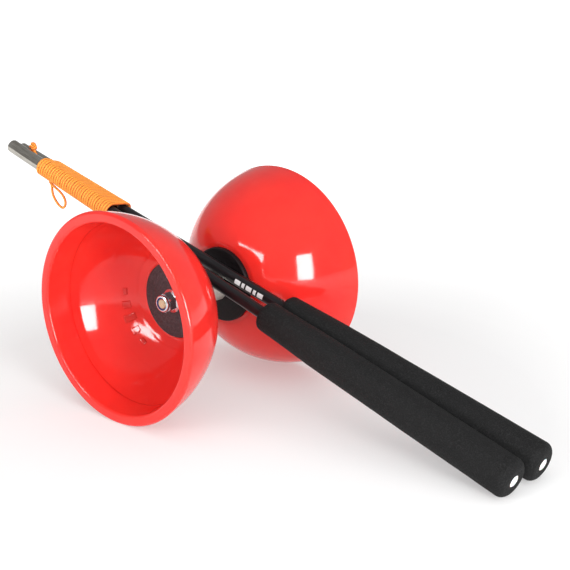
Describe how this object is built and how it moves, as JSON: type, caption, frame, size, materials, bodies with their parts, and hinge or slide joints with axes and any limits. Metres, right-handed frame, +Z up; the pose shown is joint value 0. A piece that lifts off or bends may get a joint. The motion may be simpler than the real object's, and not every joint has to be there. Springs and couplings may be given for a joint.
{
  "type": "diabolo",
  "caption": "Bearing diabolo with two open bowl-shaped cups on a short waisted axle, and a pair of foam-grip handsticks tied together by their wound string.",
  "frame": {"origin": "on the floor, under the middle of the whole object's box without its string; the axle is 60 mm above the floor and 32.5 mm towards +Y", "axes": "+X along the axle from the left cup to the right cup, +Y towards the handsticks' tips, +Z up"},
  "size_m": [0.136, 0.3742, 0.125],
  "materials": {
    "cup_red": "gloss",
    "hub_black": "satin",
    "inner_disc_dark": "matte",
    "nut_zinc": "satin",
    "nylon_blue": "satin",
    "stud_passivated": "satin",
    "washer_steel": "satin",
    "bearing_steel": "polished",
    "sleeve_satin": "satin",
    "ball_steel": "polished",
    "cage_brass": "satin",
    "shaft_black": "satin",
    "tip_metal": "polished",
    "grip_foam": "matte",
    "plug_white": "satin",
    "string_orange": "matte"
  },
  "bodies": {
    "spool": {"cup_left": "cup_red", "cup_right": "cup_red", "hub_disc_left": "hub_black", "hub_disc_right": "hub_black", "inner_disc_left": "inner_disc_dark", "inner_disc_right": "inner_disc_dark", "lock_nut_left": "nut_zinc", "lock_nut_right": "nut_zinc", "nylon_insert_left": "nylon_blue", "nylon_insert_right": "nylon_blue", "axle_stud": "stud_passivated", "thrust_washer_left": "hub_black", "thrust_washer_right": "hub_black", "inner_spacers": "washer_steel", "inner_race_left": "bearing_steel", "inner_race_middle": "bearing_steel", "inner_race_right": "bearing_steel"},
    "string_axle": {"string_sleeve": "sleeve_satin", "outer_race_left": "bearing_steel", "outer_race_middle": "bearing_steel", "outer_race_right": "bearing_steel", "outer_spacers": "washer_steel", "bearing_shields": "washer_steel"},
    "ball_sets": {"balls_left": "ball_steel", "balls_middle": "ball_steel", "balls_right": "ball_steel", "ball_cage_left": "cage_brass", "ball_cage_middle": "cage_brass", "ball_cage_right": "cage_brass"},
    "handsticks": {"shaft_near": "shaft_black", "shaft_far": "shaft_black", "tip_tube_near": "tip_metal", "tip_tube_far": "tip_metal", "grip_near": "grip_foam", "grip_far": "grip_foam", "end_plug_near": "plug_white", "end_plug_far": "plug_white", "string_winding": "string_orange", "string_lead": "string_orange", "string_knot": "string_orange", "string_loop": "string_orange"}
  },
  "joints": [
    {"name": "sleeve_spin", "type": "hinge", "parent": "spool", "child": "string_axle", "pos_m": [0, 0.0325, 0.06], "axis": [1, 0, 0], "continuous": true},
    {"name": "ball_orbit", "type": "hinge", "parent": "spool", "child": "ball_sets", "pos_m": [0, 0.0325, 0.06], "axis": [1, 0, 0], "continuous": true},
    {"name": "handsticks_lift", "type": "slide", "parent": "spool", "child": "handsticks", "axis": [0, 0, 1], "range_m": [0, 0.15]}
  ],
  "couplings": [
    {"joint": "ball_orbit", "follows": "sleeve_spin", "ratio": 0.6158}
  ]
}
